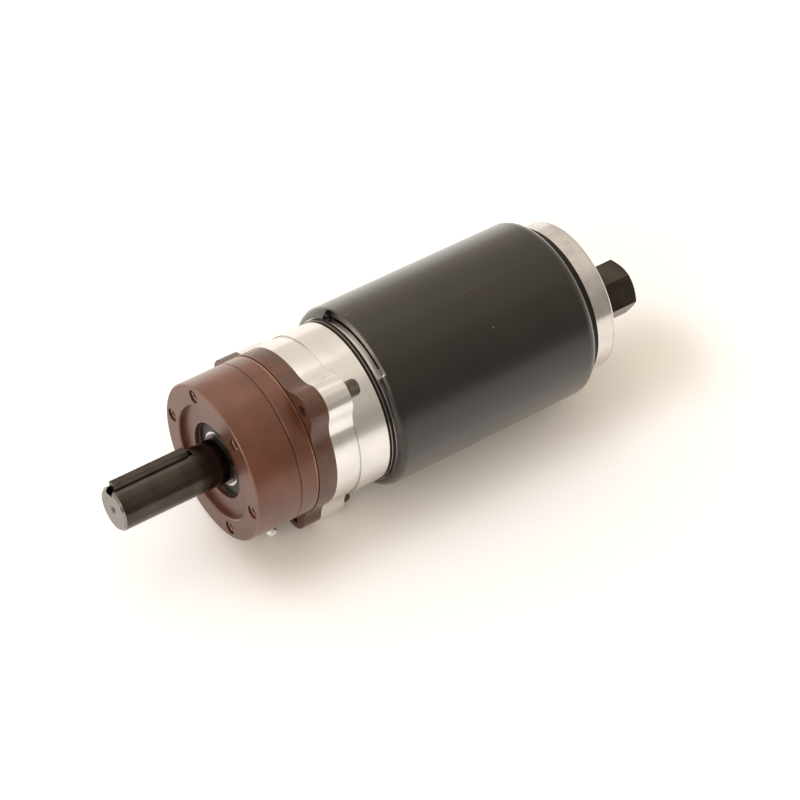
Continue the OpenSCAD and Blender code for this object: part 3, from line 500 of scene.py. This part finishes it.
def add_helix(bm, place, root_r, crest_r, pitch, length, sides=40):
    """Adds a thread ridge that winds from z = 0 down to z = -length and fades out at both ends."""
    steps = int(sides * length / pitch)
    half = RIDGE_HALF_WIDTH * pitch
    rings = []
    for step in range(steps + 1):
        angle = 2 * math.pi * step / sides
        level = -pitch * step / sides
        fade = min(1.0, step / sides, (steps - step) / sides)
        crest = root_r + (crest_r - root_r) * fade
        outline = [(root_r, level + half), (crest, level + RIDGE_CREST * half),
                   (crest, level - RIDGE_CREST * half), (root_r, level - half)]
        points = [Vector((r * math.cos(angle), r * math.sin(angle), z)) for r, z in outline]
        rings.append([bm.verts.new(place @ point) for point in points])
    add_skin(bm, rings)
    bm.faces.new(rings[0][::-1])
    bm.faces.new(rings[-1])


def add_lathe(bm, place, rows):
    """Adds a closed skin from rows of (level, list of radii round the axis), capped at both ends."""
    rings = [[bm.verts.new(point) for point in ring_points(place, level, radii)] for level, radii in rows]
    add_skin(bm, rings)
    bm.faces.new(rings[0])
    bm.faces.new(rings[-1][::-1])


def finish_mesh(bm, name, smooth_angle=40):
    """Turns a bmesh into a mesh, smooth where faces meet at less than smooth_angle degrees."""
    bmesh.ops.recalc_face_normals(bm, faces=bm.faces)
    mesh = bpy.data.meshes.new(name)
    bm.to_mesh(mesh)
    bm.free()
    for polygon in mesh.polygons:
        polygon.use_smooth = True
    mesh.set_sharp_from_angle(angle=math.radians(smooth_angle))
    return mesh


# Each thread starts a little below the mouth of its hole
FACE_THREAD_START = 0.9 * MM
FACE_THREAD_DEPTH = 0.62 * MM
FACE_THREAD_PITCH = 1.41 * MM
FACE_THREAD_LEN = 13 * MM


def face_threads():
    """Threads in the tapped holes of the front face."""
    holes = mounts["face_bolts"]["dims"]
    wall_r = holes["hole_r_mm"] * MM
    circle_r = holes["pcd_mm"] / 2 * MM
    bm = bmesh.new()
    for index in range(holes["count"]):
        angle = 2 * math.pi * index / holes["count"]
        origin = Vector((-FACE_THREAD_START, circle_r * math.cos(angle), circle_r * math.sin(angle)))
        add_helix(bm, axis_frame(origin, (1, 0, 0)), wall_r, wall_r - FACE_THREAD_DEPTH,
                  FACE_THREAD_PITCH, FACE_THREAD_LEN)
    piece("face_threads", finish_mesh(bm, "face_threads"), "brown_anodised", "case", bare_thread())


INLET_THREAD_START = 1.6 * MM
INLET_THREAD_DEPTH = 0.9 * MM
INLET_THREAD_PITCH = 1.81 * MM
INLET_THREAD_LEN = 14 * MM
INLET_THREAD_SIDES = 64


def inlet_thread():
    """Thread in the mouth of the air inlet."""
    port = mounts["air_inlet"]
    wall_r = port["dims"]["r_mm"] * MM
    origin = Vector(port["pos_m"]) + Vector((INLET_THREAD_START, 0, 0))
    bm = bmesh.new()
    add_helix(bm, axis_frame(origin, port["axis"]), wall_r, wall_r - INLET_THREAD_DEPTH,
              INLET_THREAD_PITCH, INLET_THREAD_LEN, INLET_THREAD_SIDES)
    piece("inlet_thread", finish_mesh(bm, "inlet_thread"), "black_oxide_steel", "case")


# Places of the screws round the axis and the edges that stay smooth, in degrees
SCREW_ANGLES = (60, 180, 300)
SCREW_SMOOTH_ANGLE = 30
# Points round a screw
SCREW_COLUMNS = 180

SCREW_R = 3.175 * MM
SCREW_ROOT_R = 2.65 * MM
SCREW_CREST_R = SCREW_R - 0.03 * MM
SCREW_PITCH = 1.27 * MM
SCREW_END_CHAMFER = 0.5 * MM
SCREW_RUNOUT = 0.4 * MM
# The thread's ridge starts a little way from the screw's end and stops short of the run-out
SCREW_THREAD_LEN = 12 * MM
RIDGE_START = 1.2 * MM
RIDGE_LEN = SCREW_THREAD_LEN - 2 * MM
# The fillet under the head: its height on the shank and its width on the seat
FILLET_HEIGHT = 0.35 * MM
FILLET_WIDTH = 0.3 * MM

HEAD_R = 4.75 * MM
HEAD_LEN = 6.35 * MM
HEAD_SEAT_CHAMFER = 0.3 * MM
KNURL_RIDGES = 30
KNURL_DEPTH = 0.32 * MM
# The knurl and its run-out end this far below the top
KNURL_END = 1.0 * MM
KNURL_RUNOUT_END = 0.75 * MM
# The head's rounded top edge: a shoulder below the top, and the steps in from the head's radius
HEAD_SHOULDER_DEPTH = 0.18 * MM
HEAD_SHOULDER_STEP = 0.5 * MM
HEAD_TOP_STEP = 0.95 * MM
# The hexagon socket: half its width across flats, its mouth, its depth and its drilled tip
SOCKET_HALF_WIDTH = 2.4 * MM
SOCKET_CHAMFER = 0.15 * MM
SOCKET_DEPTH = 3.2 * MM
SOCKET_TIP_DEPTH = 3.6 * MM
SOCKET_TIP_R = 1.0 * MM

# How much lighter the screws' rubbed oxide is than the other black pieces
RUBBED_LIFT = 1.7


def screw_rows(length):
    """Rows for add_lathe, from the screw's end over its head into the socket; the seat is at level 0."""
    def ring(r):
        return [r] * SCREW_COLUMNS

    wave = [1 - abs(2 * ((i * KNURL_RIDGES / SCREW_COLUMNS) % 1) - 1) for i in range(SCREW_COLUMNS)]
    knurl = [HEAD_R - KNURL_DEPTH * depth for depth in wave]
    turns = [2 * math.pi * i / SCREW_COLUMNS for i in range(SCREW_COLUMNS)]
    hexagon = [SOCKET_HALF_WIDTH / math.cos((turn + math.pi / 6) % (math.pi / 3) - math.pi / 6)
               for turn in turns]
    thread_end = length - SCREW_THREAD_LEN
    top = -HEAD_LEN
    return [
        (length, ring(SCREW_ROOT_R - SCREW_END_CHAMFER)),
        (length - SCREW_END_CHAMFER, ring(SCREW_ROOT_R)),
        (thread_end, ring(SCREW_ROOT_R)),
        (thread_end - SCREW_RUNOUT, ring(SCREW_R)),
        (FILLET_HEIGHT, ring(SCREW_R)),
        (0, ring(SCREW_R + FILLET_WIDTH)),
        (0, ring(HEAD_R - HEAD_SEAT_CHAMFER)),
        (-HEAD_SEAT_CHAMFER, knurl),
        (top + KNURL_END, knurl),
        (top + KNURL_RUNOUT_END, ring(HEAD_R - KNURL_DEPTH)),
        (top + HEAD_SHOULDER_DEPTH, ring(HEAD_R - HEAD_SHOULDER_STEP)),
        (top, ring(HEAD_R - HEAD_TOP_STEP)),
        (top, [r + SOCKET_CHAMFER for r in hexagon]),
        (top + SOCKET_CHAMFER, hexagon),
        (top + SOCKET_DEPTH, hexagon),
        (top + SOCKET_TIP_DEPTH, ring(SOCKET_TIP_R)),
    ]


def lobe_screws():
    """Socket head screws with knurled heads and threaded ends."""
    low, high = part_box("lobe_screws")
    circle_r = -low[1] - HEAD_R
    seat = low[0] + HEAD_LEN
    length = high[0] - seat
    rows = screw_rows(length)
    bm = bmesh.new()
    for degrees in SCREW_ANGLES:
        angle = math.radians(degrees)
        origin = Vector((seat, circle_r * math.cos(angle), circle_r * math.sin(angle)))
        place = axis_frame(origin, (1, 0, 0))
        add_lathe(bm, place, rows)
        ridge_place = place @ Matrix.Translation((0, 0, length - RIDGE_START))
        add_helix(bm, ridge_place, SCREW_ROOT_R, SCREW_CREST_R, SCREW_PITCH, RIDGE_LEN)
    mesh_data = finish_mesh(bm, "lobe_screws_knurled", SCREW_SMOOTH_ANGLE)
    rubbed = black_oxide("rubbed_black_oxide", RUBBED_LIFT)
    made = piece("lobe_screws_knurled", mesh_data, "black_oxide_steel", "case", rubbed)
    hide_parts("lobe_screws")


face_threads()
inlet_thread()
lobe_screws()


# Floor, light and camera

FLOOR_SIZE = 60
FLOOR_CENTRE = (-0.16, 0.03)
FLOOR_Z = cad_box[0][2]
# The warm patch round the floor's centre: half its straight length, and the width of its soft edge
WARM_HALF_LEN = 0.13
WARM_EDGE = 0.065
# Distances over which the floor brightens towards the horizon
FAR_FROM, FAR_TO = 0.6, 4.0


def lit_floor():
    """Pale floor: a warm patch along the part keeps the shadow, and the rest is white."""
    warm_base = (0.93, 0.88, 0.81)
    white_base = (0.92, 0.91, 0.91)
    warm_glow = (1.0, 0.92, 0.80)
    white_glow = (1.0, 0.99, 0.98)
    finish = Finish("studio_floor", Roughness=0.7, Specular_IOR_Level=0.2)
    past_end = finish.math("SUBTRACT", finish.math("ABSOLUTE", finish.x), WARM_HALF_LEN)
    past_end = finish.math("MAXIMUM", past_end, 0.0)
    spot = finish.add("ShaderNodeCombineXYZ", X=past_end, Y=finish.y).outputs[0]
    away = finish.add("ShaderNodeVectorMath", operation="LENGTH", _0=spot).outputs["Value"]
    outside = finish.ramp(away, 0.0, WARM_EDGE)
    finish.set("Base Color", finish.blend(outside, warm_base, white_base))
    finish.set("Emission Color", finish.blend(outside, warm_glow, white_glow))
    path = finish.add("ShaderNodeLightPath")
    bounced = finish.math("MAXIMUM", path.outputs["Is Glossy Ray"], path.outputs["Is Transmission Ray"])
    seen = finish.math("MAXIMUM", path.outputs["Is Camera Ray"], bounced)
    near_glow = finish.ramp(outside, 0.0, 1.0, to_low=0.09, to_high=0.32)
    far_glow = finish.ramp(away, FAR_FROM, FAR_TO, to_high=0.25)
    glow = finish.math("ADD", near_glow, far_glow)
    finish.set("Emission Strength", finish.math("MULTIPLY", seen, glow))
    return finish.material


def floor():
    """Large plane under the part."""
    bpy.ops.mesh.primitive_plane_add(size=FLOOR_SIZE, location=(*FLOOR_CENTRE, FLOOR_Z))
    made = bpy.context.object
    made.name = "floor"
    made.data.materials.append(lit_floor())


# Room light: its colour and strength
ROOM_TONE = (1.0, 0.90, 0.79, 1)
ROOM_LEVEL = 0.86
# The room's dark side: its direction, the cosines over which it sets in, and its strengths at two heights
DARK_SIDE = Vector((0.25, 0.87, 0.43)).normalized()
DARK_EDGE = (0.38, 0.60)
DARK_HEIGHTS = (0.35, 0.65)
DARK_LEVELS = (0.37, 0.54)


def studio_world():
    """Warm room light all round, but dark behind the camera."""
    world = bpy.data.worlds.new("studio")
    bpy.context.scene.world = world
    world.use_nodes = True
    room = ShaderTree(world.node_tree)
    place = room.add("ShaderNodeTexCoord").outputs["Generated"]
    height = room.add("ShaderNodeSeparateXYZ", Vector=place).outputs["Z"]
    facing = room.add("ShaderNodeVectorMath", operation="DOT_PRODUCT", _0=place, _1=DARK_SIDE)
    dark_level = room.ramp(height, *DARK_HEIGHTS, *DARK_LEVELS)
    level = room.ramp(facing.outputs["Value"], *DARK_EDGE, ROOM_LEVEL, dark_level)
    background = room.tree.nodes["Background"]
    background.inputs["Color"].default_value = ROOM_TONE
    room.tree.links.new(level, background.inputs["Strength"])


def softbox(name, position, target, size, watts, tone):
    """Rectangular lamp that looks at a target."""
    lamp = bpy.data.lights.new(name, "AREA")
    lamp.shape = "RECTANGLE"
    lamp.size, lamp.size_y = size
    lamp.energy = watts
    lamp.color = tone
    made = bpy.data.objects.new(name, lamp)
    bpy.context.scene.collection.objects.link(made)
    made.location = position
    made.rotation_euler = (Vector(target) - Vector(position)).to_track_quat("-Z", "Y").to_euler()


CAMERA_TARGET = Vector((-0.1124, 0.0159, 0))
CAMERA_AZIMUTH = math.radians(140.0)
CAMERA_ELEVATION = math.radians(48.675)
CAMERA_ROLL = math.radians(6.57)
CAMERA_DISTANCE = 1.5223
CAMERA_LENS = 124.56
CAMERA_SENSOR = 36
CAMERA_CLIP_END = 50


def camera():
    """The photo's camera, solved from the circles that it shows."""
    back = Vector((math.sin(CAMERA_AZIMUTH) * math.cos(CAMERA_ELEVATION),
                   -math.cos(CAMERA_AZIMUTH) * math.cos(CAMERA_ELEVATION), math.sin(CAMERA_ELEVATION)))
    level = Vector((math.cos(CAMERA_AZIMUTH), math.sin(CAMERA_AZIMUTH), 0))
    right = level * math.cos(CAMERA_ROLL) + back.cross(level) * math.sin(CAMERA_ROLL)
    up = back.cross(right)
    data = bpy.data.cameras.new("camera")
    data.lens = CAMERA_LENS
    data.sensor_width = CAMERA_SENSOR
    data.clip_end = CAMERA_CLIP_END
    made = bpy.data.objects.new("camera", data)
    bpy.context.scene.collection.objects.link(made)
    made.matrix_world = Matrix((right, up, back)).transposed().to_4x4()
    made.location = CAMERA_TARGET + back * CAMERA_DISTANCE
    bpy.context.scene.camera = made


floor()
studio_world()
softbox("key", position=(0.35, -1.0, 1.5), target=(-0.1, 0, 0), size=(2.4, 1.8), watts=10,
        tone=(1.0, 0.98, 0.96))
softbox("fill", position=(1.2, 0.5, 0.9), target=(-0.05, 0, 0), size=(0.9, 0.9), watts=6,
        tone=(1.0, 0.96, 0.92))
camera()
bpy.context.scene.view_settings.view_transform = "Standard"
